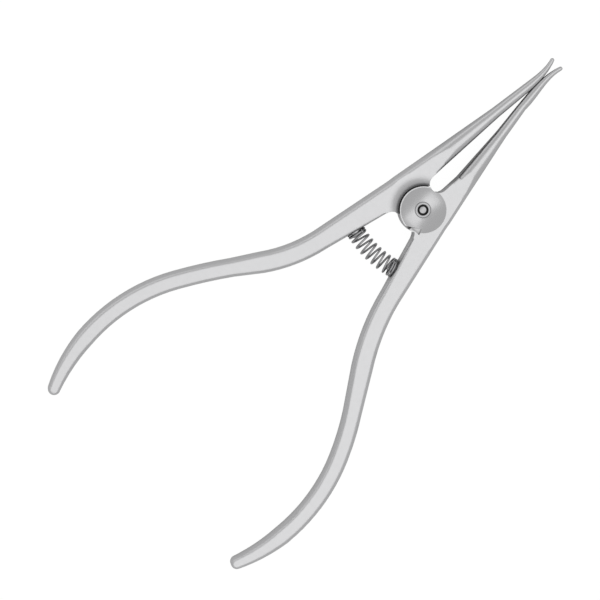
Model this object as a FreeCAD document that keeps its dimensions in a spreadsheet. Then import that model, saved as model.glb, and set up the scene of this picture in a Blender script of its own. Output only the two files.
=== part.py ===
import FreeCAD, Part
import math
import os

import Sketcher
from FreeCAD import Placement, Rotation, Vector

# Ligature tying pliers with reverse action: each handle runs on into the beak of its own side,
# so squeezing the handles opens the beaks, and a coiled spring between the handles closes them.
# Two forged members lap at one rivet: the right one in front with a dished disc, the left behind.
# Origin on the rivet's axis at the flat back, +Z out of the dished front, +Y towards the tips.
# Lengths are in millimetres and angles in degrees.

SIZES = {
    # Faces and thickness
    "joint_thickness": 4.8,
    "butt_thickness": 4.1,
    "taper_start": 78.4,
    "grinding_stock": 0.3,
    # Lap joint
    "disc_radius": 5.7,
    "disc_clearance": 0.15,
    "lap_gap": 0.02,
    "rim_land": 0.25,
    "rim_round": 0.12,
    "dish_depth": 1.1,
    "dish_sag": 0.1,
    "scoop_depth": 0.9,
    "scoop_radius": 9.2,
    "scoop_sag": 0.22,
    "crotch_radius": 2.18,
    "crotch_height": 7.05,
    "arch_top": 4.78,
    "left_arch_radius": 2.6,
    "right_arch_radius": 2.2,
    "facet_depth": 0.55,
    # Rivet
    "shank_radius": 1.5,
    "running_clearance": 0.04,
    "head_radius": 1.9,
    "head_depth": 0.5,
    "back_head_radius": 2.1,
    "back_head_depth": 0.7,
    "post_radius": 0.86,
    "ring_radius": 1.28,
    "ring_depth": 0.7,
    "post_drop": 0.1,
    "post_dome": 0.1,
    # Beaks
    "beak_offset": 1.88,
    "contact_height": 42.7,
    "contact_gap": 0.04,
    "flare_radius": 14.5,
    "flare_angle": 17.0,
    "beak_roundness": 0.47,
    "tip_width": 0.96,
    "flare_width": 1.22,
    "contact_width": 1.54,
    "closing_width": 2.15,
    "slim_width": 2.62,
    "root_width": 4.84,
    "tip_height": 0.9,
    "flare_height": 1.2,
    "contact_depth": 1.55,
    "closing_height": 2.1,
    "slim_height": 2.75,
    "root_height": 5.6,
    # Handles
    "waist_width": 6.0,
    "bend_width": 5.0,
    "grip_width": 4.35,
    "taper_width": 3.75,
    "butt_width": 2.95,
    "outer_round": 1.9,
    "waist_inner_round": 0.9,
    "handle_inner_round": 1.7,
    # Route of the left member, from the beaks' contact down to the butt
    "left_closing_radius": 41.0,
    "left_beak_angle": 6.6,
    "left_beak_length": 37.9,
    "left_waist_radius": 34.5,
    "left_waist_angle": 12.8,
    "left_shank_length": 19.6,
    "left_bend_radius": 37.1,
    "left_bend_angle": 35.6,
    "left_slant_length": 7.1,
    "left_gentle_radius": 129.0,
    "left_grip_angle": 29.5,
    "left_grip_radius": 43.3,
    "left_grip_sweep": 52.6,
    # Route of the right member
    "right_closing_radius": 63.5,
    "right_beak_angle": 7.9,
    "right_beak_length": 32.4,
    "right_waist_radius": 30.2,
    "right_waist_angle": 14.4,
    "right_shank_length": 19.2,
    "right_bend_radius": 55.5,
    "right_bend_angle": 33.1,
    "right_slant_length": 11.2,
    "right_gentle_radius": 70.2,
    "right_grip_angle": 23.9,
    "right_grip_radius": 44.7,
    "right_grip_sweep": 46.1,
    # Spring and its studs
    "seat_drop": 14.8,
    "coil_radius": 1.95,
    "wire_radius": 0.25,
    "coil_turns": 10.0,
    "closed_turns": 1.25,
    "closed_clearance": 0.03,
    "seat_clearance": 0.02,
    "stud_radius": 1.25,
    "stud_length": 1.5,
    "stud_depth": 2.2,
    "stud_chamfer": 0.25,
}

# Sections of a member from tip to butt: number of the spine's edge, place along it, size of the width.
STATIONS = {
    "tip": (1, 0.0, "tip_width"),
    "flare": (1, 0.5, "flare_width"),
    "contact": (2, 0.0, "contact_width"),
    "closing": (3, 0.0, "closing_width"),
    "slim": (3, 0.25, "slim_width"),
    "root": (3, 0.75, "root_width"),
    "waist_top": (4, 0.0, "waist_width"),
    "waist_low": (5, 0.0, "waist_width"),
    "bend_start": (6, 0.0, "bend_width"),
    "bend_end": (7, 0.0, "bend_width"),
    "gentle_start": (8, 0.0, "grip_width"),
    "grip_start": (9, 0.0, "grip_width"),
    "grip_end": (9, 0.65, "grip_width"),
    "taper": (9, 0.83, "taper_width"),
    "butt": (9, 1.0, "butt_width"),
}
# Pieces of the blank: straight tapers and end curves lofted, bends turned about their centres.
LOFTS = {
    "flare": (("tip", "flare", "contact", "closing"), False),
    "beak": (("closing", "slim", "root", "waist_top"), True),
    "shank": (("waist_low", "bend_start"), True),
    "slant": (("bend_end", "gentle_start"), True),
    "butt": (("grip_end", "taper", "butt"), False),
}
# Bends: the section turned, the size of the radius, and 1 where the centre lies outward.
BENDS = {
    "waist": ("waist_top", "waist_radius", 1),
    "bend": ("bend_start", "bend_radius", 1),
    "gentle": ("gentle_start", "gentle_radius", -1),
    "grip": ("grip_start", "grip_radius", -1),
}
PIECES = ("flare", "beak", "waist", "shank", "bend", "slant", "gentle", "grip", "butt")
BEAK_STATIONS = ("tip", "flare", "contact", "closing", "slim", "root")
SIDES = {"left": -1, "right": 1}

doc = FreeCAD.newDocument("ligature_pliers")
sheet = doc.addObject("Spreadsheet::Sheet", "Sizes")
for row, (alias, value) in enumerate(SIZES.items(), start=1):
    sheet.set(f"A{row}", alias)
    sheet.set(f"B{row}", str(value))
    sheet.setAlias(f"B{row}", alias)
doc.recompute()


def size(alias):
    """The value of one cell of the sheet."""
    return float(getattr(sheet, alias))


def turn(degrees):
    """Sine and cosine of an angle in degrees."""
    return math.sin(math.radians(degrees)), math.cos(math.radians(degrees))


# Route of a member's centreline


def heading_arc(start, radius, first, last):
    """Three points of an arc from start, whose heading swings outward from first to last.

    Headings are measured from straight down, and x counts outward from the rivet.
    """
    points = []
    sense = 1 if last > first else -1
    sin_first, cos_first = turn(first)
    for heading in (first, (first + last) / 2, last):
        sin_now, cos_now = turn(heading)
        points.append(Vector(start.x + sense * radius * (cos_first - cos_now),
                             start.y - sense * radius * (sin_now - sin_first), 0))
    return points


def heading_line(start, length, heading):
    """Both ends of a straight run."""
    sine, cosine = turn(heading)
    return [start, Vector(start.x + length * sine, start.y - length * cosine, 0)]


def route(side):
    """The nine runs of a centreline from tip to butt, x counted outward from the rivet."""
    def own(name):
        return size(f"{side}_{name}")

    offset = size("beak_offset") * -SIDES[side]
    contact = Vector(offset + (size("contact_width") + size("contact_gap")) / 2, size("contact_height"), 0)
    flare = []
    for angle in (size("flare_angle"), size("flare_angle") / 2, 0):
        sine, cosine = turn(angle)
        flare.append(Vector(contact.x + size("flare_radius") * (1 - cosine),
                            contact.y + size("flare_radius") * sine, 0))
    runs = [flare]
    runs.append(heading_arc(contact, own("closing_radius"), 0, own("beak_angle")))
    runs.append(heading_line(runs[-1][-1], own("beak_length"), own("beak_angle")))
    runs.append(heading_arc(runs[-1][-1], own("waist_radius"), own("beak_angle"), own("waist_angle")))
    runs.append(heading_line(runs[-1][-1], own("shank_length"), own("waist_angle")))
    runs.append(heading_arc(runs[-1][-1], own("bend_radius"), own("waist_angle"), own("bend_angle")))
    runs.append(heading_line(runs[-1][-1], own("slant_length"), own("bend_angle")))
    runs.append(heading_arc(runs[-1][-1], own("gentle_radius"), own("bend_angle"), own("grip_angle")))
    runs.append(heading_arc(runs[-1][-1], own("grip_radius"), own("grip_angle"),
                            own("grip_angle") - own("grip_sweep")))
    return runs


def to_side(point, side):
    """A point counted outward turned into the part's own x."""
    return Vector(point.x * SIDES[side], point.y, point.z)


# Seats of the spring, on the inner faces of the two handles


def inner_face(side):
    """Top and bottom of the handle's straight inner face, as seen from the front."""
    top, bottom = route(side)[4]
    sine, cosine = turn(size(f"{side}_waist_angle"))
    inward = Vector(-cosine, -sine, 0)
    return (to_side(top + inward * (size("waist_width") / 2), side),
            to_side(bottom + inward * (size("bend_width") / 2), side))


def crossing(a, b, c, d):
    """Where the line through a and b meets the line through c and d."""
    first, second = b - a, d - c
    share = ((c - a).x * second.y - (c - a).y * second.x) / (first.x * second.y - first.y * second.x)
    return a + first * share


LEFT_FACE = inner_face("left")
RIGHT_FACE = inner_face("right")
SPRING_CENTRE = crossing(*LEFT_FACE, *RIGHT_FACE)
LEFT_SEAT = crossing(*LEFT_FACE, Vector(0, -size("seat_drop"), 0), Vector(1, -size("seat_drop"), 0))
SPRING_RADIUS = (LEFT_SEAT - SPRING_CENTRE).Length
RIGHT_SEAT = SPRING_CENTRE + (RIGHT_FACE[1] - SPRING_CENTRE).normalize() * SPRING_RADIUS
SEATS = {"left": LEFT_SEAT, "right": RIGHT_SEAT}
FACES = {"left": LEFT_FACE, "right": RIGHT_FACE}
MIDDLE = size("joint_thickness") / 2


def seat_axis(side):
    """Unit vector out of the handle's inner face, into the spring."""
    top, bottom = FACES[side]
    along = (bottom - top).normalize()
    return Vector(along.y, -along.x, 0) * SIDES[side]


# Sketch helpers


def origin_plane(body, role):
    """One of the body's own origin planes or axes."""
    for feature in body.Origin.OriginFeatures:
        if feature.Role == role:
            return feature
    raise ValueError(role)


def sketch_on(body, name, role, offset=None):
    """An empty sketch on one of the body's origin planes."""
    sketch = body.newObject("Sketcher::SketchObject", name)
    sketch.AttachmentSupport = (origin_plane(body, role), [""])
    sketch.MapMode = "FlatFace"
    if offset is not None:
        sketch.AttachmentOffset = offset
    return sketch


def bind(sketch, constraint, formula, name):
    """Adds a constraint, names it and ties it to the sheet."""
    index = sketch.addConstraint(constraint)
    sketch.renameConstraint(index, name)
    sketch.setExpression(f"Constraints.{name}", formula)


def end_at(sketch, curve, point):
    """Which end of a curve lies at a point: 1 for its start, 2 for its end."""
    near = (sketch.getPoint(curve, 1) - point).Length < (sketch.getPoint(curve, 2) - point).Length
    return 1 if near else 2


def add_run(sketch, points):
    """A line through two points or an arc through three."""
    if len(points) == 2:
        return sketch.addGeometry(Part.LineSegment(*points))
    return sketch.addGeometry(Part.Arc(*points))


def closed_outline(sketch, runs, smooth=()):
    """Runs joined end to end into a closed outline; smooth numbers the runs that end in a tangent."""
    curves = [add_run(sketch, points) for points in runs]
    for index, curve in enumerate(curves):
        following = curves[(index + 1) % len(curves)]
        joint = runs[index][-1]
        kind = "Tangent" if index in smooth else "Coincident"
        sketch.addConstraint(Sketcher.Constraint(kind, curve, end_at(sketch, curve, joint),
                                                 following, end_at(sketch, following, joint)))
    return curves


def polygon(sketch, points):
    """A closed outline of straight lines."""
    return closed_outline(sketch, [[a, b] for a, b in zip(points, points[1:] + points[:1])])


def place_point(sketch, curve, end, across, up, name):
    """Ties one end of a curve to distances from the sketch's origin, given as formulas."""
    where = sketch.getPoint(curve, end)
    bind(sketch, Sketcher.Constraint("DistanceX", -1, 1, curve, end, where.x), across, f"{name}_across")
    bind(sketch, Sketcher.Constraint("DistanceY", -1, 1, curve, end, where.y), up, f"{name}_up")


# The forged blank of a member


def spine_sketch(body, side):
    """The member's centreline as one tangent chain, each radius, length and angle tied to the sheet."""
    sketch = sketch_on(body, f"{side}_spine", "XY_Plane")
    runs = [[to_side(point, side) for point in run] for run in route(side)]
    curves = [add_run(sketch, run) for run in runs]
    for curve, run, following in zip(curves, runs, curves[1:]):
        joint = run[-1]
        sketch.addConstraint(Sketcher.Constraint("Tangent", curve, end_at(sketch, curve, joint),
                                                 following, end_at(sketch, following, joint)))
    flare, closing, beak, waist, shank, bend, slant, gentle, grip = curves
    radii = {flare: "flare_radius", closing: f"{side}_closing_radius", waist: f"{side}_waist_radius",
             bend: f"{side}_bend_radius", gentle: f"{side}_gentle_radius", grip: f"{side}_grip_radius"}
    for curve, alias in radii.items():
        bind(sketch, Sketcher.Constraint("Radius", curve, size(alias)), f"Sizes.{alias}", alias)
    lengths = {beak: f"{side}_beak_length", shank: f"{side}_shank_length", slant: f"{side}_slant_length"}
    for curve, alias in lengths.items():
        bind(sketch, Sketcher.Constraint("Distance", curve, size(alias)), f"Sizes.{alias}", alias)
    headings = {beak: f"{side}_beak_angle", shank: f"{side}_waist_angle", slant: f"{side}_bend_angle"}
    for curve, alias in headings.items():
        angle = math.radians(-90 + SIDES[side] * size(alias))
        bind(sketch, Sketcher.Constraint("Angle", curve, angle),
             f"(-90 + {SIDES[side]} * Sizes.{alias}) * 1 deg", alias)
    sweeps = {flare: "Sizes.flare_angle", grip: f"Sizes.{side}_grip_sweep",
              gentle: f"Sizes.{side}_bend_angle - Sizes.{side}_grip_angle"}
    for curve, formula in sweeps.items():
        arc = sketch.Geometry[curve]
        bind(sketch, Sketcher.Constraint("Angle", curve, arc.LastParameter - arc.FirstParameter),
             f"({formula}) * 1 deg", f"sweep_{curve}")
    contact = end_at(sketch, closing, runs[0][-1])
    sketch.addConstraint(Sketcher.Constraint("Horizontal", flare, 3, closing, contact))
    place_point(sketch, closing, contact,
                f"-Sizes.beak_offset + {SIDES[side]} * (Sizes.contact_width + Sizes.contact_gap) / 2",
                "Sizes.contact_height", "contact")
    return sketch


def face_height(side, edge, share):
    """Formula for the finished thickness at a station of the handle, where the front face tapers."""
    points = route(side)[edge - 1]
    low = route(side)[-1][-1].y
    along = points[0].y + (points[-1].y - points[0].y) * share
    fall = max(0.0, (-size("taper_start") - along) / (-size("taper_start") - low))
    return f"(Sizes.joint_thickness - {fall:.4f} * (Sizes.joint_thickness - Sizes.butt_thickness))"


def station_sizes(side, name):
    """Formulas for a section's width, height, base, outer rounding and inner rounding."""
    edge, share, alias = STATIONS[name]
    width = f"Sizes.{alias}"
    if name in BEAK_STATIONS:
        height = "Sizes.contact_depth" if name == "contact" else f"Sizes.{name}_height"
        corner = f"Sizes.beak_roundness * min({width}; {height})"
        inner = "Sizes.handle_inner_round" if name == "root" else corner
        return width, height, f"(Sizes.joint_thickness - {height}) / 2", corner, inner
    thickness = face_height(side, edge, share) if name in ("taper", "butt") else "Sizes.joint_thickness"
    height = f"({thickness} + 2 * Sizes.grinding_stock)"
    outer = f"min(Sizes.outer_round; Sizes.beak_roundness * min({width}; {height}))"
    inner = "Sizes.waist_inner_round" if name.startswith("waist") else "Sizes.handle_inner_round"
    inner = f"min({inner}; Sizes.beak_roundness * min({width}; {height}))"
    return width, height, "-Sizes.grinding_stock", outer, inner


def section_sketch(body, spine, name, station):
    """An empty sketch square to the spine at a station."""
    edge, share, _ = STATIONS[station]
    sketch = body.newObject("Sketcher::SketchObject", name)
    sketch.AttachmentSupport = (spine, [f"Edge{edge}"])
    sketch.MapMode = "NormalToEdge"
    sketch.MapPathParameter = share
    return sketch


def rounded_section(body, side, spine, name):
    """A rounded rectangle square to the spine, its four sizes tied to the sheet."""
    sketch = section_sketch(body, spine, f"{side}_{name}", name)
    width, height, base, outer, inner = station_sizes(side, name)
    # The sketch's x points left as seen from the front, so outward on the left member only.
    left_round, right_round = (inner, outer) if side == "left" else (outer, inner)
    corner_radii = {"low_left": left_round, "low_right": right_round,
                    "high_right": right_round, "high_left": left_round}
    start = 2.0
    corner_start = 0.4
    slant = corner_start * (1 - math.sqrt(0.5))
    corners = [Vector(-start, 0, 0), Vector(start, 0, 0), Vector(start, start, 0), Vector(-start, start, 0)]
    runs = []
    for index, corner in enumerate(corners):
        following = corners[(index + 1) % 4]
        after = corners[(index + 2) % 4]
        along = (following - corner).normalize()
        onward = (after - following).normalize()
        before_corner = following - along * corner_start
        runs.append([corner + along * corner_start, before_corner])
        runs.append([before_corner, following - along * slant + onward * slant,
                     following + onward * corner_start])
    curves = closed_outline(sketch, runs, smooth=range(8))
    low, right, high, left = curves[0], curves[2], curves[4], curves[6]
    for curve in (low, high):
        sketch.addConstraint(Sketcher.Constraint("Horizontal", curve))
    for curve in (right, left):
        sketch.addConstraint(Sketcher.Constraint("Vertical", curve))
    for curve, (corner, formula) in zip((curves[7], curves[1], curves[3], curves[5]), corner_radii.items()):
        bind(sketch, Sketcher.Constraint("Radius", curve, corner_start), formula, corner)
    bind(sketch, Sketcher.Constraint("DistanceX", left, 1, right, 1, 2 * start), width, "width")
    bind(sketch, Sketcher.Constraint("DistanceY", low, 1, high, 1, start), height, "height")
    bind(sketch, Sketcher.Constraint("DistanceX", left, 1, -1, 1, start), f"{width} / 2", "half_width")
    bind(sketch, Sketcher.Constraint("DistanceY", -1, 1, low, 1, 0.0), base, "base")
    return sketch


def revolved(body, name, kind, sketch, angle=360.0, turned_back=False, axis="V_Axis"):
    """A Revolution or Groove of a sketch about its own upright axis or a construction line."""
    feature = body.newObject(f"PartDesign::{kind}", name)
    feature.Profile = sketch
    feature.ReferenceAxis = (sketch, [axis])
    feature.Angle = angle
    feature.Reversed = turned_back
    doc.recompute()
    return feature


def round_end(body, side, spine, name, turned_back):
    """Half turn of an end section about its upright middle line, which rounds the end off."""
    sketch = section_sketch(body, spine, f"{side}_{name}_half", name)
    width, height, base, outer, _ = station_sizes(side, name)
    reach, corner, tall = 1.2, 0.4, 2.0
    slant = corner * (1 - math.sqrt(0.5))
    low_bend = [Vector(reach - corner, 0, 0), Vector(reach - slant, slant, 0), Vector(reach, corner, 0)]
    high_bend = [Vector(reach, tall - corner, 0), Vector(reach - slant, tall - slant, 0),
                 Vector(reach - corner, tall, 0)]
    runs = [[Vector(0, 0, 0), low_bend[0]], low_bend, [low_bend[2], high_bend[0]], high_bend,
            [high_bend[2], Vector(0, tall, 0)], [Vector(0, tall, 0), Vector(0, 0, 0)]]
    low, low_arc, wall, high_arc, high, middle = closed_outline(sketch, runs, smooth=range(4))
    for curve in (low, high):
        sketch.addConstraint(Sketcher.Constraint("Horizontal", curve))
    for curve in (wall, middle):
        sketch.addConstraint(Sketcher.Constraint("Vertical", curve))
    for curve, label in ((low_arc, "low_corner"), (high_arc, "high_corner")):
        bind(sketch, Sketcher.Constraint("Radius", curve, corner), outer, label)
    bind(sketch, Sketcher.Constraint("DistanceX", middle, 1, wall, 1, reach), f"{width} / 2", "half_width")
    bind(sketch, Sketcher.Constraint("DistanceY", low, 1, high, 1, tall), height, "height")
    bind(sketch, Sketcher.Constraint("DistanceX", -1, 1, middle, 1, 0.0), "0 * 1 mm", "axis")
    bind(sketch, Sketcher.Constraint("DistanceY", -1, 1, low, 1, 0.0), base, "base")
    doc.recompute()
    return revolved(body, f"{side}_{name}_round", "Revolution", sketch, 180.0, turned_back)


def lofted(body, name, sections, ruled):
    """A loft through sections of the blank."""
    loft = body.newObject("PartDesign::AdditiveLoft", name)
    loft.Profile = sections[0]
    loft.Sections = sections[1:]
    loft.Ruled = ruled
    doc.recompute()


def bend_piece(body, side, name, sections):
    """One bend of the blank: its section turned about the centre of the spine's arc."""
    station, radius, outward = BENDS[name]
    profile = sections[station]
    reach = outward * -SIDES[side]
    place = reach * size(f"{side}_{radius}")
    axis = profile.addGeometry(Part.LineSegment(Vector(place, 0, 0), Vector(place, 2, 0)), True)
    profile.addConstraint(Sketcher.Constraint("Vertical", axis))
    profile.addConstraint(Sketcher.Constraint("DistanceY", axis, 1, axis, 2, 2.0))
    place_point(profile, axis, 1, f"{reach} * Sizes.{side}_{radius}", "0 * 1 mm", f"{name}_centre")
    doc.recompute()
    piece = revolved(body, f"{side}_{name}", "Revolution", profile, 10.0, reach > 0, "Axis0")
    turns = {"waist": f"Sizes.{side}_waist_angle - Sizes.{side}_beak_angle",
             "bend": f"Sizes.{side}_bend_angle - Sizes.{side}_waist_angle",
             "gentle": f"Sizes.{side}_bend_angle - Sizes.{side}_grip_angle",
             "grip": f"{STATIONS['grip_end'][1]} * Sizes.{side}_grip_sweep"}
    piece.setExpression("Angle", turns[name])
    doc.recompute()


def forging(body, side):
    """The blank from tip to butt, piece by piece down the spine, with both ends rounded."""
    spine = spine_sketch(body, side)
    doc.recompute()
    sections = {name: rounded_section(body, side, spine, name) for name in STATIONS}
    doc.recompute()
    for name in PIECES:
        if name in LOFTS:
            stations, ruled = LOFTS[name]
            lofted(body, f"{side}_{name}_run", [sections[station] for station in stations], ruled)
        else:
            bend_piece(body, side, name, sections)
    round_end(body, side, spine, "tip", turned_back=True)
    round_end(body, side, spine, "butt", turned_back=False)


# Features of the joint


def pad(body, name, sketch, length):
    """A pad of a sketch, upward."""
    feature = body.newObject("PartDesign::Pad", name)
    feature.Profile = sketch
    feature.setExpression("Length", length)
    doc.recompute()
    return feature


def pocket(body, name, sketch, length, upward=False):
    """A pocket down from the sketch's plane, or upward; it has to remove something."""
    before = body.Shape.Volume
    feature = body.newObject("PartDesign::Pocket", name)
    feature.Profile = sketch
    feature.setExpression("Length", length)
    feature.Reversed = upward
    doc.recompute()
    if feature.Shape.Volume >= before:
        raise RuntimeError(f"{name} cuts nothing")
    return feature


def lifted_sketch(body, name, lift=None):
    """A sketch parallel to the back face, lifted by a formula."""
    sketch = sketch_on(body, name, "XY_Plane")
    if lift is not None:
        sketch.setExpression("AttachmentOffset.Base.z", lift)
    return sketch


def circle_sketch(body, name, radius, lift=None, across="0", up="0"):
    """A circle parallel to the back face, its radius and centre tied to the sheet."""
    sketch = lifted_sketch(body, name, lift)
    curve = sketch.addGeometry(Part.Circle(Vector(0, 0, 0), Vector(0, 0, 1), 1.0))
    bind(sketch, Sketcher.Constraint("Radius", curve, 1.0), radius, "radius")
    bind(sketch, Sketcher.Constraint("DistanceX", -1, 1, curve, 3, 0.0), f"({across}) * 1 mm", "across")
    bind(sketch, Sketcher.Constraint("DistanceY", -1, 1, curve, 3, 0.0), f"({up}) * 1 mm", "up")
    doc.recompute()
    return sketch


def arch(side):
    """Centre, start and top of the arch where a handle's inner face turns in under the disc.

    The arch bites a little into the blank, so that the two join without a gap.
    """
    bite = 0.05
    radius = size(f"{side}_arch_radius")
    top, bottom = (to_side(point, side) for point in FACES[side])
    along = (bottom - top).normalize()
    outward = Vector(-along.y, along.x, 0)
    centre_y = -size("arch_top") - radius
    centre_x = top.x - (radius - bite - (top.y - centre_y) * outward.y) / outward.x
    centre = Vector(centre_x, centre_y, 0)
    return centre, centre + outward * radius, centre + Vector(0, radius, 0)


def neck_plate(body, side):
    """The full thickness web between the blank, the disc and the beaks' crotch."""
    runs = route(side)
    beak, waist, shank = runs[2], runs[3], runs[4]
    offset = size("beak_offset") * -SIDES[side]
    crotch_side = offset + size("crotch_radius")
    inside_crotch = offset + size("crotch_radius") / 2
    reach = size("crotch_height") + 2 * size("crotch_radius")
    on_beak = beak[0] + (beak[1] - beak[0]) * ((beak[0].y - reach) / (beak[0].y - beak[1].y))
    centre, start, top = arch(side)
    depth = (shank[0].y - start.y) / (shank[0].y - shank[1].y)
    on_shank = shank[0] + (shank[1] - shank[0]) * depth
    half_way = centre + ((start + top) * 0.5 - centre).normalize() * (top - centre).Length
    under_disc = top * 0.4
    low_crotch = Vector(inside_crotch, size("disc_radius") * 0.6, 0)
    corners = [on_beak, beak[1], waist[2], on_shank, start]
    after_arch = [top, under_disc, low_crotch, Vector(inside_crotch, size("crotch_height"), 0),
                  Vector(crotch_side, size("crotch_height"), 0),
                  Vector(crotch_side + 0.1 * (on_beak.x - crotch_side), reach, 0), on_beak]
    outline = [[a, b] for a, b in zip(corners, corners[1:])]
    outline.append([start, half_way, top])
    outline.extend([a, b] for a, b in zip(after_arch, after_arch[1:]))
    sketch = lifted_sketch(body, f"{side}_neck_outline")
    curves = closed_outline(sketch, [[to_side(point, side) for point in run] for run in outline])
    bind(sketch, Sketcher.Constraint("Radius", curves[4], size(f"{side}_arch_radius")),
         f"Sizes.{side}_arch_radius", "arch_radius")
    pad(body, f"{side}_neck", sketch, "Sizes.joint_thickness")


def grinding(body, side):
    """Grinds the blank's back flat, and its front flat at the joint and tapered down the handle."""
    low = route(side)[-1][-1].y
    margin = 6.0
    top = size("contact_height") + 2 * margin
    below = low - margin
    fall = size("joint_thickness") - size("butt_thickness")
    slope = fall / (-size("taper_start") - low)
    front_low = size("joint_thickness") - slope * (-size("taper_start") - below)
    clear = size("joint_thickness") + margin
    sketch = sketch_on(body, f"{side}_ground_faces", "YZ_Plane")
    front = polygon(sketch, [Vector(top, size("joint_thickness"), 0),
                             Vector(-size("taper_start"), size("joint_thickness"), 0),
                             Vector(below, front_low, 0), Vector(below, clear, 0), Vector(top, clear, 0)])
    polygon(sketch, [Vector(top, 0, 0), Vector(below, 0, 0), Vector(below, -margin, 0),
                     Vector(top, -margin, 0)])
    place_point(sketch, front[1], end_at(sketch, front[1], Vector(-size("taper_start"),
                                                                 size("joint_thickness"), 0)),
                "-Sizes.taper_start", "Sizes.joint_thickness", "taper")
    doc.recompute()
    feature = body.newObject("PartDesign::Pocket", f"{side}_grinding")
    feature.Profile = sketch
    feature.Midplane = True
    feature.Length = 4 * size("contact_height")
    doc.recompute()


def contact_face(body, side):
    """Grinds the beak's inner face to a plane beside the meeting line, where it would cross over."""
    margin = 8.0
    meeting = SIDES[side] * size("contact_gap") / 2 - size("beak_offset")
    beyond = meeting - SIDES[side] * margin
    top = size("contact_height") + margin
    bottom = size("contact_height") / 2
    outline = [Vector(meeting, bottom, 0), Vector(meeting, top, 0), Vector(beyond, top, 0),
               Vector(beyond, bottom, 0)]
    sketch = lifted_sketch(body, f"{side}_contact_outline", "Sizes.joint_thickness")
    edges = polygon(sketch, outline)
    place_point(sketch, edges[0], 1, f"{SIDES[side]} * Sizes.contact_gap / 2 - Sizes.beak_offset",
                "Sizes.contact_height / 2", "foot")
    sketch.addConstraint(Sketcher.Constraint("Vertical", edges[0]))
    doc.recompute()
    pocket(body, f"{side}_contact_face", sketch, "Sizes.joint_thickness + 1")


def turned_cut(body, name, points, arcs=()):
    """A groove turned about the rivet's axis, from a half profile of radius and height.

    arcs holds, for the numbers of some sides of the profile, how far each bows to its left.
    """
    sketch = sketch_on(body, f"{name}_profile", "XZ_Plane")
    bows = dict(arcs)
    runs = []
    for index, (a, b) in enumerate(zip(points, points[1:] + points[:1])):
        start, end = Vector(*a, 0), Vector(*b, 0)
        if index in bows:
            along = (end - start).normalize()
            middle = (start + end) * 0.5 + Vector(-along.y, along.x, 0) * bows[index]
            runs.append([start, middle, end])
        else:
            runs.append([start, end])
    closed_outline(sketch, runs)
    doc.recompute()
    before = body.Shape.Volume
    feature = revolved(body, name, "Groove", sketch)
    if feature.Shape.Volume >= before:
        raise RuntimeError(f"{name} cuts nothing")
    return feature


CLEAR = size("joint_thickness") + 1.0
DISH_FLOOR = size("joint_thickness") - size("dish_depth")
HEAD_BASE = DISH_FLOOR - size("head_depth")


def dish(body):
    """The turned hollow in the disc's face, a shallow cone with a slight bow and a flat middle."""
    outer = size("disc_radius") - size("rim_land")
    hub = size("head_radius") + size("running_clearance")
    turned_cut(body, "dish", [(0, CLEAR), (0, DISH_FLOOR), (hub, DISH_FLOOR),
                              (outer, size("joint_thickness")), (outer, CLEAR)],
               [(2, -size("dish_sag"))])


def scoop(body):
    """The hollow turned into the left shoulder round the disc, so that its rim stands clear."""
    recess = size("disc_radius") + size("disc_clearance")
    low = size("joint_thickness") - size("scoop_depth")
    turned_cut(body, "scoop", [(0, CLEAR), (0, low), (recess, low),
                               (size("scoop_radius"), size("joint_thickness")),
                               (size("scoop_radius"), CLEAR)],
               [(2, size("scoop_sag"))])


def rivet_seats():
    """Bore and countersink of each lap: tight on the rivet at the back, running free in front."""
    shank, back = size("shank_radius"), size("back_head_radius")
    turned_cut(left, "back_rivet_seat", [(0, -1.0), (back, -1.0), (back, 0), (shank, size("back_head_depth")),
                                         (shank, CLEAR), (0, CLEAR)])
    bore = shank + size("running_clearance")
    head = size("head_radius") + size("running_clearance")
    turned_cut(right, "front_rivet_seat", [(0, -1.0), (bore, -1.0), (bore, HEAD_BASE), (head, DISH_FLOOR),
                                           (head, CLEAR), (0, CLEAR)])


def rim_cuts(body):
    """The flat across the disc's rim and the small facet beside it, where the right handle starts."""
    _, _, top = arch("right")
    rim = size("disc_radius")
    deep = -rim - 1.0
    corner = Vector(-0.085 * rim, -math.sqrt(rim ** 2 - (0.085 * rim) ** 2), 0)
    flat = lifted_sketch(body, "rim_flat_outline", "Sizes.joint_thickness")
    polygon(flat, [corner, top, Vector(top.x, deep, 0), Vector(corner.x, deep, 0)])
    doc.recompute()
    pocket(body, "rim_flat", flat, "Sizes.joint_thickness + 1")
    along = (top - corner).normalize()
    inner = top + along * (0.42 * rim)
    foot = Vector(rim * 0.6, top.y - 0.02 * rim, 0)
    facet = lifted_sketch(body, "facet_outline", "Sizes.joint_thickness")
    polygon(facet, [top + Vector(-0.02, -0.02, 0) * rim, inner, foot])
    doc.recompute()
    pocket(body, "facet", facet, "Sizes.facet_depth")


def seat_placement(side, outward):
    """Placement of a stud's frame: its z runs out of the handle's inner face, or into it."""
    point = Vector(SEATS[side].x, SEATS[side].y, MIDDLE)
    axis = seat_axis(side) if outward else seat_axis(side) * -1
    return Placement(point, Rotation(Vector(0, 0, 1), axis))


def stud_hole(body, side):
    """The blind hole in the handle's inner face that holds the spring's stud."""
    outline = sketch_on(body, f"{side}_stud_outline", "XY_Plane", seat_placement(side, True))
    curve = outline.addGeometry(Part.Circle(Vector(0, 0, 0), Vector(0, 0, 1), size("stud_radius")))
    bind(outline, Sketcher.Constraint("Radius", curve, size("stud_radius")), "Sizes.stud_radius", "radius")
    outline.addConstraint(Sketcher.Constraint("Coincident", curve, 3, -1, 1))
    doc.recompute()
    pocket(body, f"{side}_stud_hole", outline, "Sizes.stud_depth")


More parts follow.
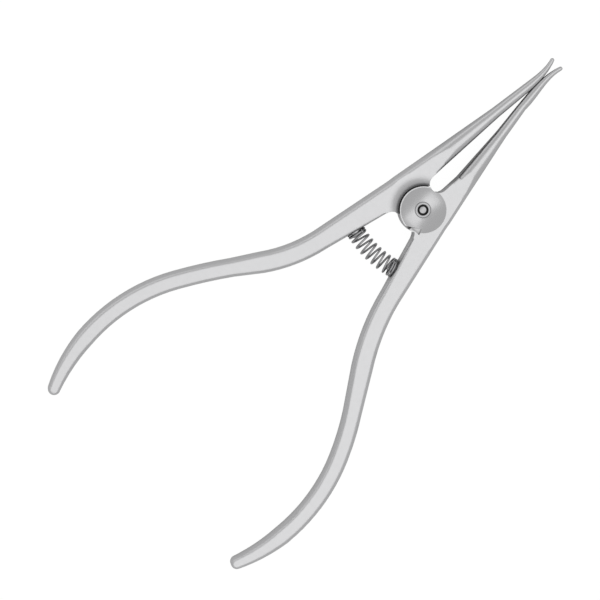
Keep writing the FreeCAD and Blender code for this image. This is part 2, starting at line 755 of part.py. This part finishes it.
def member(side):
    """One forged member with its half of the lap joint."""
    body = doc.addObject("PartDesign::Body", f"{side}_member")
    forging(body, side)
    neck_plate(body, side)
    pad(body, f"{side}_disc", circle_sketch(body, f"{side}_disc_outline", "Sizes.disc_radius"),
        "Sizes.joint_thickness")
    grinding(body, side)
    crotch = circle_sketch(body, f"{side}_crotch_outline", "Sizes.crotch_radius", "Sizes.joint_thickness",
                           "-Sizes.beak_offset", "Sizes.crotch_height")
    pocket(body, f"{side}_crotch", crotch, "Sizes.joint_thickness + 1")
    contact_face(body, side)
    recess_radius = "Sizes.disc_radius + Sizes.disc_clearance"
    recess_depth = "(Sizes.joint_thickness + Sizes.lap_gap) / 2"
    if side == "left":
        recess = circle_sketch(body, "left_recess_outline", recess_radius, "Sizes.joint_thickness")
        pocket(body, "left_recess", recess, recess_depth)
        scoop(body)
    else:
        recess = circle_sketch(body, "right_recess_outline", recess_radius)
        pocket(body, "right_recess", recess, recess_depth, upward=True)
        rim_cuts(body)
        dish(body)
    stud_hole(body, side)
    return body


left = member("left")
right = member("right")
rivet_seats()


# Rivet, studs and spring


def turned_body(label, runs):
    """A body of revolution about its own z, from runs of a half profile."""
    body = doc.addObject("PartDesign::Body", label)
    sketch = sketch_on(body, f"{label}_profile", "XZ_Plane")
    closed_outline(sketch, [[Vector(*point, 0) for point in run] for run in runs])
    doc.recompute()
    revolved(body, f"{label}_turned", "Revolution", sketch)
    return body


def rivet():
    """The rivet: a flush back head, the shank, and a front head with a ring groove round its post."""
    land = size("head_radius")
    ring, post, shank = size("ring_radius"), size("post_radius"), size("shank_radius")
    face = DISH_FLOOR + 0.05
    groove = face - size("ring_depth")
    top = face - size("post_drop")
    corners = [(0, 0), (size("back_head_radius"), 0), (shank, size("back_head_depth")), (shank, HEAD_BASE),
               (land, DISH_FLOOR), (land - 0.1, face), (ring, face), (ring, groove), (post, groove),
               (post, top)]
    runs = [[a, b] for a, b in zip(corners, corners[1:])]
    ball = (post ** 2 + size("post_dome") ** 2) / (2 * size("post_dome"))
    sine, cosine = turn(math.degrees(math.asin(post / ball)) / 2)
    crown = top + size("post_dome")
    runs.append([(post, top), (ball * sine, crown - ball * (1 - cosine)), (0, crown)])
    runs.append([(0, crown), (0, 0)])
    return turned_body("pivot_rivet", runs)


def spring_stud(side):
    """A short pin pressed into the handle, with a chamfered end inside the spring."""
    radius, chamfer = size("stud_radius"), size("stud_chamfer")
    low, high = -size("stud_depth"), size("stud_length")
    corners = [(0, low), (radius, low), (radius, high - chamfer), (radius - chamfer, high), (0, high)]
    body = turned_body(f"{side}_spring_stud", [[a, b] for a, b in zip(corners, corners[1:] + corners[:1])])
    body.Placement = seat_placement(side, True)
    return body


def spring_advance(turns):
    """Distance along the spring's middle line after some turns: closed ends, open middle."""
    total, closed = size("coil_turns"), size("closed_turns")
    tight = 2 * size("wire_radius") + size("closed_clearance")
    length = (LEFT_SEAT - SPRING_CENTRE).getAngle(RIGHT_SEAT - SPRING_CENTRE) * SPRING_RADIUS
    length -= 2 * (size("wire_radius") + size("seat_clearance"))
    fade = 0.5
    opened = total - 2 * closed - fade
    loose = (length - tight * (total - opened)) / opened

    def from_end(count):
        """Extra advance over the tight pitch, counted from a closed end."""
        past = min(max(count - closed, 0.0), fade)
        return past ** 2 / (2 * fade) + max(count - closed - fade, 0.0)

    extra = from_end(turns) if turns <= total / 2 else opened - from_end(total - turns)
    return tight * turns + (loose - tight) * extra


def spring_point(turns):
    """A point of the wire's middle line, coiled about an arc centred above the rivet."""
    start = LEFT_SEAT - SPRING_CENTRE
    along = (spring_advance(turns) + size("wire_radius") + size("seat_clearance")) / SPRING_RADIUS
    radial = Rotation(Vector(0, 0, 1), math.degrees(along)).multVec(start).normalize()
    sine, cosine = turn(360 * turns)
    centre = SPRING_CENTRE + radial * SPRING_RADIUS
    coil = radial * (cosine * size("coil_radius")) + Vector(0, 0, sine * size("coil_radius"))
    return centre + coil + Vector(0, 0, MIDDLE)


def return_spring():
    """The round wire swept along its arched coil."""
    per_turn = 12
    count = int(round(size("coil_turns") * per_turn))
    points = [spring_point(size("coil_turns") * index / count) for index in range(count + 1)]
    curve = Part.BSplineCurve()
    curve.interpolate(points)
    path = Part.Wire(curve.toShape())
    tangent = curve.tangent(curve.FirstParameter)[0]
    ring = Part.Wire(Part.makeCircle(size("wire_radius"), points[0], tangent))
    sweep = path.makePipeShell([ring], True, True)
    feature = doc.addObject("Part::Feature", "return_spring")
    feature.Shape = sweep
    return feature


sub_parts = [left, right, rivet(), spring_stud("left"), spring_stud("right"), return_spring()]
doc.recompute()


# Checks and export


for thing in doc.Objects:
    if "Invalid" in thing.State or "Error" in thing.State:
        raise RuntimeError(f"{thing.Label}: {thing.State}")
for piece in sub_parts:
    if piece.Shape.isNull() or not piece.Shape.isValid() or len(piece.Shape.Solids) != 1:
        raise RuntimeError(f"{piece.Label} is not one valid solid")
os.makedirs("parts", exist_ok=True)
for piece in sub_parts:
    piece.Shape.exportStep(f"parts/{piece.Label}.step")
    print(piece.Label, round(piece.Shape.Volume, 2))
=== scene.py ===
import math

import bpy
from mathutils import Matrix, Vector


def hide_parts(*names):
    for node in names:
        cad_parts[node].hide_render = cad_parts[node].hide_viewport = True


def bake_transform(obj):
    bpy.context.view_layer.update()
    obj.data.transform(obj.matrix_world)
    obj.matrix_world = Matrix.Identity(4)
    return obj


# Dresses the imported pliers: finishes, the coiled spring, floor, light and the photograph's camera.
# The pliers lie on their flat back, +Y to the tips and +Z out of the dished front, in metres.

MM = 0.001

# Spring: its place, seats, wire and turns are the CAD part's. It is wound right-handed, is a little
# wider, and the front of each open turn leans to the left seat, as in the photograph.
SPRING_CENTRE = Vector((-1.591, 9.412, 2.4)) * MM
LEFT_SEAT = Vector((-7.745, -14.8, 2.4)) * MM
RIGHT_SEAT = Vector((5.249, -14.615, 2.4)) * MM
COIL_RADIUS = 2.08 * MM
COIL_LEAN = 0.3 * MM
WIRE_RADIUS = 0.25 * MM
COIL_TURNS = 10
CLOSED_TURNS = 1.25
CLOSED_PITCH = 0.53 * MM
PITCH_FADE = 0.5
LEAN_FADE = 1.0
SEAT_CLEARANCE = 0.02 * MM
WIRE_STEPS_PER_TURN = 40
WIRE_SIDES = 12

# Rivet, by distance from its axis: the post, the ring groove round it, and the head's outer seam
POST_RADIUS = 0.86 * MM
RING_RADIUS = 1.28 * MM
# Margin of the groove's painted shade past its edges
GROOVE_SHADE_EDGE = 0.07 * MM
SEAM_START = 1.4 * MM
SEAM_EDGE = 0.3 * MM

# Members, by distance from the axis: the disc, the joint's crisp edges, then softer edges
DISC_RADIUS = 5.6 * MM
DISC_POLISH = 0.04
# Share by which the disc's colour is blended toward black
DISC_DARKENING = 0.05
JOINT_REACH = 9.4 * MM
JOINT_EDGE = 0.12 * MM
HANDLE_EDGE = 0.6 * MM

# How far off a surface still shades the steel: near the joint, and along the beaks' start to slim part
SHELTER_REACH = 2.4 * MM
BEAK_SHELTER_REACH = 16.0 * MM
BEAK_START = 7.0 * MM
BEAK_SLIM = 18.0 * MM
SHADE_SAMPLES = 8

# Colours
STEEL_COLOUR = (0.80, 0.80, 0.81, 1)
# Painted shade that the members' steel turns to where other parts stand close
PAINTED_SHADE_COLOUR = (0.10, 0.10, 0.10, 1)
POST_COLOUR = (0.62, 0.62, 0.63, 1)
HEAD_COLOUR = (0.60, 0.60, 0.61, 1)
# Painted shade in the rivet's ring groove
GROOVE_SHADE_COLOUR = (0.03, 0.03, 0.03, 1)
STUD_COLOUR = (0.66, 0.66, 0.67, 1)
WIRE_COLOUR = (0.52, 0.52, 0.53, 1)
# Painted shade where the spring's turns lie close
COIL_SHADE_COLOUR = (0.01, 0.01, 0.01, 1)
FLOOR_COLOUR = (0.58, 0.58, 0.58, 1)
BLACK = (0, 0, 0, 1)
WHITE = (1, 1, 1, 1)

# Grain: noise cells per metre, and the roughness that it varies between
STEEL_GRAIN, STEEL_ROUGHNESS = 900, (0.26, 0.34)
STUD_GRAIN, STUD_ROUGHNESS = 3000, (0.2, 0.3)
WIRE_GRAIN, WIRE_ROUGHNESS = 4000, (0.14, 0.22)
FINE_GRAIN, FINE_DETAIL = 6000, 3
FINE_STRENGTH, FINE_DEPTH = 0.05, 0.02 * MM

# Floor and light: side or place and size in metres, power in watts
FLOOR_SIDE = 6.0
FLOOR_GLOW = 1.14
GLOW_SEEN = 0.85
GLOW_MIRRORED = 0.18
SURROUND = 0.48
LAMPS = {
    "overhead": ((0.24, 0.08, 1.2), (0.8, 2.0), 2.3),
    "left_side": ((-1.3, 0.0, 0.5), (0.6, 1.8), 1.1),
}

# Photograph: 600 pixels square, the rivet's centre and the size of a millimetre in it
IMAGE_SIDE = 600
RIVET_PIXEL = (423, 210)
PIXELS_PER_MM = 4.216
TOOL_TURN = math.radians(45)
CAMERA_TILT = math.radians(8.5)
RIVET_HEIGHT = 3.7 * MM
LENS = 150
SENSOR = 36
CLIP_START = 0.01

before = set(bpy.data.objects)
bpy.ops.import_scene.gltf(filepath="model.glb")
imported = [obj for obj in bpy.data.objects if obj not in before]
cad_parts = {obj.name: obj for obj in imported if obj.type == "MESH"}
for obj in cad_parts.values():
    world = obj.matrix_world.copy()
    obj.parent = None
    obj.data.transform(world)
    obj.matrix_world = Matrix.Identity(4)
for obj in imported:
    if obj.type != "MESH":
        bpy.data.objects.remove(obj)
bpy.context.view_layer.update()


# Node helpers


def new_material(name):
    """A node material with one Principled shader, and its node tree."""
    material = bpy.data.materials.new(name)
    material.use_nodes = True
    return material, material.node_tree, material.node_tree.nodes["Principled BSDF"]


def join(tree, value, socket):
    """Sets a socket to a constant, or links another socket to it."""
    if isinstance(value, bpy.types.NodeSocket):
        tree.links.new(value, socket)
    else:
        socket.default_value = value


def math_node(tree, operation, first, second=0.0):
    """A Math node; each input is a number or a socket. Returns its output socket."""
    node = tree.nodes.new("ShaderNodeMath")
    node.operation = operation
    join(tree, first, node.inputs[0])
    join(tree, second, node.inputs[1])
    return node.outputs[0]


def between(tree, value, low, high):
    """1 where the value lies between low and high, 0 elsewhere."""
    return math_node(tree, "MULTIPLY", math_node(tree, "GREATER_THAN", value, low),
                     math_node(tree, "LESS_THAN", value, high))


def spread(tree, socket, low, high, start=0.0, end=1.0):
    """Maps start..end to low..high."""
    node = tree.nodes.new("ShaderNodeMapRange")
    node.inputs["From Min"].default_value = start
    node.inputs["From Max"].default_value = end
    node.inputs["To Min"].default_value = low
    node.inputs["To Max"].default_value = high
    tree.links.new(socket, node.inputs["Value"])
    return node.outputs[0]


def blended(tree, share, first, second):
    """A colour between two, each a constant or a socket, by a share socket."""
    mix = tree.nodes.new("ShaderNodeMix")
    mix.data_type = "RGBA"
    join(tree, first, mix.inputs["A"])
    join(tree, second, mix.inputs["B"])
    join(tree, share, mix.inputs["Factor"])
    return mix.outputs["Result"]


def noise(tree, coordinates, scale, detail=2.0):
    """Noise over the coordinates, as a socket between 0 and 1."""
    texture = tree.nodes.new("ShaderNodeTexNoise")
    texture.inputs["Scale"].default_value = scale
    texture.inputs["Detail"].default_value = detail
    tree.links.new(coordinates, texture.inputs["Vector"])
    return texture.outputs["Fac"]


def place(tree):
    """The point's own coordinates on the object."""
    return tree.nodes.new("ShaderNodeTexCoord").outputs["Object"]


def split(tree, where):
    """The x, y and z sockets of coordinates."""
    parts = tree.nodes.new("ShaderNodeSeparateXYZ")
    tree.links.new(where, parts.inputs[0])
    return parts.outputs


def radius_from_axis(tree, where):
    """Distance of the point from the rivet's axis, as a socket."""
    x, y, _ = split(tree, where)
    return math_node(tree, "SQRT", math_node(tree, "ADD", math_node(tree, "MULTIPLY", x, x),
                                             math_node(tree, "MULTIPLY", y, y)))


def painted_shade(tree, reach, close_colour, open_colour):
    """Painted shade: a colour that turns to another where surfaces stand within reach, a number or a
    socket.
    """
    occlusion = tree.nodes.new("ShaderNodeAmbientOcclusion")
    occlusion.samples = SHADE_SAMPLES
    join(tree, reach, occlusion.inputs["Distance"])
    return blended(tree, occlusion.outputs["AO"], close_colour, open_colour)


def fine_grain(tree, shader, where, edge):
    """Bends the shader's normals by a fine grain, over edges softened by a radius socket."""
    soft = tree.nodes.new("ShaderNodeBevel")
    soft.samples = SHADE_SAMPLES
    tree.links.new(edge, soft.inputs["Radius"])
    node = tree.nodes.new("ShaderNodeBump")
    node.inputs["Strength"].default_value = FINE_STRENGTH
    node.inputs["Distance"].default_value = FINE_DEPTH
    tree.links.new(soft.outputs[0], node.inputs["Normal"])
    tree.links.new(noise(tree, where, FINE_GRAIN, FINE_DETAIL), node.inputs["Height"])
    tree.links.new(node.outputs[0], shader.inputs["Normal"])


def metal(tree, shader, colour, roughness):
    """Makes the shader a metal; colour is a constant or a socket, roughness a socket."""
    shader.inputs["Metallic"].default_value = 1.0
    join(tree, colour, shader.inputs["Base Color"])
    tree.links.new(roughness, shader.inputs["Roughness"])


# Finishes


def satin_steel():
    """Fine satin finish of the forged members, with painted shade where other parts stand close and the
    disc a little darker.
    """
    material, tree, shader = new_material("satin_steel")
    where = place(tree)
    radius = radius_from_axis(tree, where)
    disc = math_node(tree, "LESS_THAN", radius, DISC_RADIUS)
    reach = spread(tree, split(tree, where)[1], SHELTER_REACH, BEAK_SHELTER_REACH, BEAK_START, BEAK_SLIM)
    # Painted shade: the steel darkens where other surfaces stand within reach
    colour = painted_shade(tree, reach, PAINTED_SHADE_COLOUR, STEEL_COLOUR)
    # The disc's colour a little darker
    colour = blended(tree, math_node(tree, "MULTIPLY", disc, DISC_DARKENING), colour, BLACK)
    satin = spread(tree, noise(tree, where, STEEL_GRAIN), *STEEL_ROUGHNESS)
    roughness = math_node(tree, "ADD", satin, math_node(tree, "MULTIPLY", disc, -DISC_POLISH))
    metal(tree, shader, colour, roughness)
    outside = math_node(tree, "GREATER_THAN", radius, JOINT_REACH)
    fine_grain(tree, shader, where, spread(tree, outside, JOINT_EDGE, HANDLE_EDGE))
    return material


def rivet_steel():
    """Turned finish of the rivet, with painted shade in the ring groove round its post."""
    material, tree, shader = new_material("rivet_steel")
    where = place(tree)
    radius = radius_from_axis(tree, where)
    own_colour = blended(tree, math_node(tree, "GREATER_THAN", radius, RING_RADIUS), POST_COLOUR, HEAD_COLOUR)
    # Painted shade in the ring groove round the post
    groove = between(tree, radius, POST_RADIUS - GROOVE_SHADE_EDGE, RING_RADIUS + GROOVE_SHADE_EDGE)
    metal(tree, shader, blended(tree, groove, own_colour, GROOVE_SHADE_COLOUR),
          spread(tree, noise(tree, where, STEEL_GRAIN), *STEEL_ROUGHNESS))
    seam = math_node(tree, "GREATER_THAN", radius, SEAM_START)
    fine_grain(tree, shader, where, math_node(tree, "MULTIPLY", seam, SEAM_EDGE))
    return material


def stud_steel():
    """Turned finish of the studs."""
    material, tree, shader = new_material("turned_steel")
    metal(tree, shader, STUD_COLOUR, spread(tree, noise(tree, place(tree), STUD_GRAIN), *STUD_ROUGHNESS))
    return material


def spring_steel():
    """Drawn wire of the spring, with painted shade where the turns lie close."""
    material, tree, shader = new_material("spring_steel")
    # Painted shade between the close turns
    colour = painted_shade(tree, SHELTER_REACH, COIL_SHADE_COLOUR, WIRE_COLOUR)
    metal(tree, shader, colour, spread(tree, noise(tree, place(tree), WIRE_GRAIN), *WIRE_ROUGHNESS))
    return material


def dress(node, material):
    """Gives a CAD node's object its material."""
    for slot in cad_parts[node].material_slots:
        slot.material = material


# Spring


def advance(turns):
    """Distance along the spring's middle line after some turns: closed ends, open middle."""
    arm = LEFT_SEAT - SPRING_CENTRE
    length = arm.angle(RIGHT_SEAT - SPRING_CENTRE) * arm.length
    length -= 2 * (WIRE_RADIUS + SEAT_CLEARANCE)
    opened = COIL_TURNS - 2 * CLOSED_TURNS - PITCH_FADE
    loose = (length - CLOSED_PITCH * (COIL_TURNS - opened)) / opened

    def from_end(count):
        """Extra advance over the closed pitch, counted from a closed end."""
        past = min(max(count - CLOSED_TURNS, 0.0), PITCH_FADE)
        return past ** 2 / (2 * PITCH_FADE) + max(count - CLOSED_TURNS - PITCH_FADE, 0.0)

    extra = from_end(turns) if turns <= COIL_TURNS / 2 else opened - from_end(COIL_TURNS - turns)
    return CLOSED_PITCH * turns + (loose - CLOSED_PITCH) * extra


def spring_point(turns):
    """A point of the wire's middle line, and the direction out of the coil there."""
    arm = LEFT_SEAT - SPRING_CENTRE
    angle = 2 * math.pi * turns
    past_closed = min(turns, COIL_TURNS - turns) - CLOSED_TURNS
    lean = COIL_LEAN * min(max(past_closed / LEAN_FADE, 0.0), 1.0) * math.sin(angle)
    along = (advance(turns) + WIRE_RADIUS + SEAT_CLEARANCE + lean) / arm.length
    radial = Matrix.Rotation(along, 3, "Z") @ arm.normalized()
    out = radial * math.cos(angle) - Vector((0, 0, math.sin(angle)))
    return SPRING_CENTRE + radial * arm.length + out * COIL_RADIUS, out


def tube(name, points, outs, radius, sides):
    """A closed tube mesh along points; outs gives a direction across the wire at each."""
    vertices = []
    faces = []
    for index, (point, out) in enumerate(zip(points, outs)):
        before = points[max(index - 1, 0)]
        after = points[min(index + 1, len(points) - 1)]
        tangent = (after - before).normalized()
        side = tangent.cross(out).normalized()
        across = side.cross(tangent)
        for step in range(sides):
            angle = 2 * math.pi * step / sides
            vertices.append(point + (across * math.cos(angle) + side * math.sin(angle)) * radius)
    for index in range(len(points) - 1):
        for step in range(sides):
            low = index * sides
            following = (step + 1) % sides
            faces.append((low + step, low + following, low + sides + following, low + sides + step))
    faces.append(tuple(reversed(range(sides))))
    faces.append(tuple(range((len(points) - 1) * sides, len(points) * sides)))
    mesh = bpy.data.meshes.new(name)
    mesh.from_pydata(vertices, [], faces)
    mesh.shade_smooth()
    piece = bpy.data.objects.new(name, mesh)
    bpy.context.collection.objects.link(piece)
    return piece


def coiled_spring():
    """The spring, which bends between the two members."""
    count = COIL_TURNS * WIRE_STEPS_PER_TURN
    rows = [spring_point(index / WIRE_STEPS_PER_TURN) for index in range(count + 1)]
    points, outs = zip(*rows)
    piece = tube("coiled_spring", points, outs, WIRE_RADIUS, WIRE_SIDES)
    piece.data.materials.append(spring_steel())
    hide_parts("return_spring")
    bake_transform(piece)


# Floor, light and camera


def floor():
    """A plain pale floor that the camera sees as white, apart from the pliers' shadow."""
    half = FLOOR_SIDE / 2
    mesh = bpy.data.meshes.new("floor")
    corners = [(-half, -half, 0), (half, -half, 0), (half, half, 0), (-half, half, 0)]
    mesh.from_pydata(corners, [], [(0, 1, 2, 3)])
    plane = bpy.data.objects.new("floor", mesh)
    bpy.context.collection.objects.link(plane)
    material, tree, shader = new_material("floor")
    shader.inputs["Base Color"].default_value = FLOOR_COLOUR
    shader.inputs["Roughness"].default_value = 1.0
    shader.inputs["Specular IOR Level"].default_value = 0.0
    glow = tree.nodes.new("ShaderNodeEmission")
    glow.inputs["Strength"].default_value = FLOOR_GLOW
    path = tree.nodes.new("ShaderNodeLightPath")
    seen = math_node(tree, "MULTIPLY", path.outputs["Is Camera Ray"], GLOW_SEEN)
    mirrored = math_node(tree, "MULTIPLY", path.outputs["Is Glossy Ray"], GLOW_MIRRORED)
    mix = tree.nodes.new("ShaderNodeMixShader")
    tree.links.new(math_node(tree, "ADD", seen, mirrored), mix.inputs[0])
    tree.links.new(shader.outputs[0], mix.inputs[1])
    tree.links.new(glow.outputs[0], mix.inputs[2])
    tree.links.new(mix.outputs[0], tree.nodes["Material Output"].inputs["Surface"])
    mesh.materials.append(material)


def softbox(name, place_at, size, power):
    """A rectangular area light that looks at the rivet, its second side along the pliers."""
    lamp = bpy.data.lights.new(name, "AREA")
    lamp.shape = "RECTANGLE"
    lamp.size, lamp.size_y = size
    lamp.energy = power
    light = bpy.data.objects.new(name, lamp)
    bpy.context.collection.objects.link(light)
    away = Vector(place_at).normalized()
    across = Vector((0, 1, 0)).cross(away).normalized()
    turned_to = Matrix((across, away.cross(across), away)).transposed().to_4x4()
    light.matrix_world = Matrix.Translation(place_at) @ turned_to


def surround(strength):
    """An even pale surround."""
    world = bpy.data.worlds.new("surround")
    world.use_nodes = True
    background = world.node_tree.nodes["Background"]
    background.inputs["Color"].default_value = WHITE
    background.inputs["Strength"].default_value = strength
    bpy.context.scene.world = world


def photograph_camera():
    """Looks down on the pliers as the photograph does, tilted a little to their left side."""
    sine, cosine = math.sin(CAMERA_TILT), math.cos(CAMERA_TILT)
    towards_camera = Vector((-sine, 0, cosine))
    tool_x = Vector((cosine, 0, sine))
    tool_y = Vector((0, 1, 0))
    right = tool_y * math.cos(TOOL_TURN) + tool_x * math.sin(TOOL_TURN)
    up = tool_y * math.sin(TOOL_TURN) - tool_x * math.cos(TOOL_TURN)
    pixel = MM / PIXELS_PER_MM
    aim = Vector((0, 0, RIVET_HEIGHT))
    aim += right * (IMAGE_SIDE / 2 - RIVET_PIXEL[0]) * pixel
    aim += up * (RIVET_PIXEL[1] - IMAGE_SIDE / 2) * pixel
    distance = IMAGE_SIDE * pixel * LENS / SENSOR
    camera_data = bpy.data.cameras.new("camera")
    camera_data.lens = LENS
    camera_data.sensor_width = SENSOR
    camera_data.clip_start = CLIP_START
    camera = bpy.data.objects.new("camera", camera_data)
    bpy.context.collection.objects.link(camera)
    turned_to = Matrix((right, up, towards_camera)).transposed().to_4x4()
    camera.matrix_world = Matrix.Translation(aim + towards_camera * distance) @ turned_to
    bpy.context.scene.camera = camera


steel = satin_steel()
studs = stud_steel()
for node, material in (("left_member", steel), ("right_member", steel), ("pivot_rivet", rivet_steel()),
                       ("left_spring_stud", studs), ("right_spring_stud", studs)):
    dress(node, material)
coiled_spring()
floor()
surround(SURROUND)
for name, (place_at, size, power) in LAMPS.items():
    softbox(name, place_at, size, power)
photograph_camera()
bpy.context.scene.view_settings.view_transform = "Standard"
